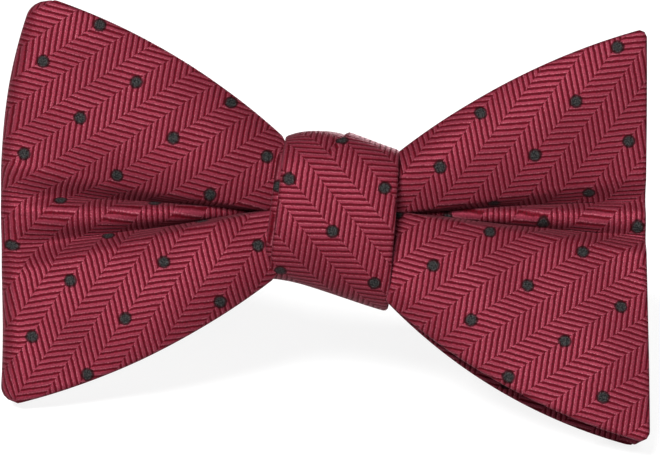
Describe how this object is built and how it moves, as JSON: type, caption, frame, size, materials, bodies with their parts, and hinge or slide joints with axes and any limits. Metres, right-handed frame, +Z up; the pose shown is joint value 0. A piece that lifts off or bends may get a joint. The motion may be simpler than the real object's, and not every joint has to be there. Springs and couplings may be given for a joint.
{
  "type": "bow tie",
  "caption": "Ready-tied bow tie with a folded loop wing, a flared wing and a wrapped knot, on an adjustable ring neckband with eye, hook and slider.",
  "frame": {"origin": "centre of the box's underside: the level on which the wing tips and the clasp rest", "axes": "+X to the viewer's right across the bow, +Y from the bow back to the clasp, +Z up"},
  "size_m": [0.1195, 0.1354, 0.0742],
  "materials": {
    "bow_silk": "crimson herringbone silk with charcoal dots, satin sheen",
    "band_silk": "the same silk, turned and pressed flat",
    "canvas": "natural woven interlining",
    "thread": "matching sewing thread",
    "clasp_metal": "polished nickel plate, lightly rubbed"
  },
  "bodies": {
    "bow": {"front_bow_shell": "bow_silk", "front_bow_interlining": "canvas", "rear_bow_shell": "bow_silk", "rear_bow_interlining": "canvas", "waist_thread": "thread", "knot_wrap": "bow_silk", "knot_interlining": "canvas", "knot_tack_stitches": "thread", "neckband_front": "band_silk", "neckband_front_interlining": "canvas"},
    "band_left": {"neckband_left": "band_silk", "neckband_left_interlining": "canvas", "eye_bar_tack": "thread"},
    "eye_frame": {"eye": "clasp_metal"},
    "band_right": {"neckband_right": "band_silk", "neckband_right_interlining": "canvas", "strap_return": "band_silk"},
    "hook_frame": {"hook": "clasp_metal"},
    "slider_frame": {"slider": "clasp_metal", "slider_bar_tack": "thread"}
  },
  "joints": [
    {"name": "left_band_flex", "type": "hinge", "parent": "bow", "child": "band_left", "pos_m": [-0.03466, -0.03559, 0.03198], "axis": [0, 0.2274, 0.9738], "range_deg": [0, 45]},
    {"name": "right_band_flex", "type": "hinge", "parent": "bow", "child": "band_right", "pos_m": [0.03676, -0.03559, 0.03198], "axis": [0, -0.2274, -0.9738], "range_deg": [0, 45]},
    {"name": "eye_swing", "type": "hinge", "parent": "band_left", "child": "eye_frame", "pos_m": [-0.01245, 0.06385, 0.00875], "axis": [0, 0.2274, 0.9738], "range_deg": [-45, 45]},
    {"name": "hook_swing", "type": "hinge", "parent": "band_right", "child": "hook_frame", "pos_m": [0.01455, 0.06385, 0.00875], "axis": [0, -0.2274, -0.9738], "range_deg": [-45, 45]},
    {"name": "slider_travel", "type": "hinge", "parent": "band_right", "child": "slider_frame", "pos_m": [0.00105, 0.00892, 0.02158], "axis": [0, 0.2274, 0.9738], "range_deg": [-50, 12], "deforming": ["strap_return"]}
  ]
}
